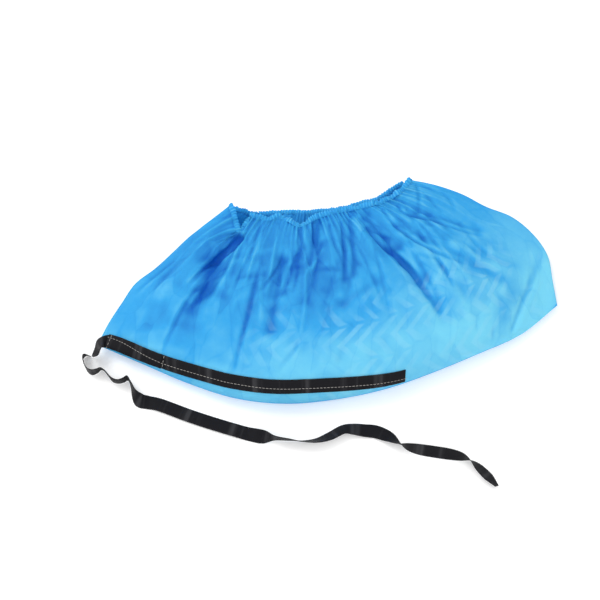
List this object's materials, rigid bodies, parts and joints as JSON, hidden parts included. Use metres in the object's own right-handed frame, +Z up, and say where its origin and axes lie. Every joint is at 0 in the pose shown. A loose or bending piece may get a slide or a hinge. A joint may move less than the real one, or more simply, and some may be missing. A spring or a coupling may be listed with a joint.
{
  "type": "shoe cover",
  "caption": "Disposable non-woven overshoe lying flat on its side: gathered elastic mouth, welded seams, ribbon sewn along the heel half of the sole with a long free end.",
  "frame": {"origin": "middle of the lying cover's footprint, without the free ribbon, on the surface it lies on", "axes": "+X from heel to toe, +Y from the sole to the mouth, +Z up from the surface"},
  "size_m": [0.3694, 0.2546, 0.0342],
  "materials": {
    "cloth": "matte non-woven, slightly see-through",
    "hem": "matte, gathered",
    "ribbon": "black satin weave"
  },
  "bodies": {
    "root": {"cover_wall": "cloth", "elastic_hem": "hem", "sole_strip": "ribbon", "ribbon_tail": "ribbon"}
  },
  "joints": []
}
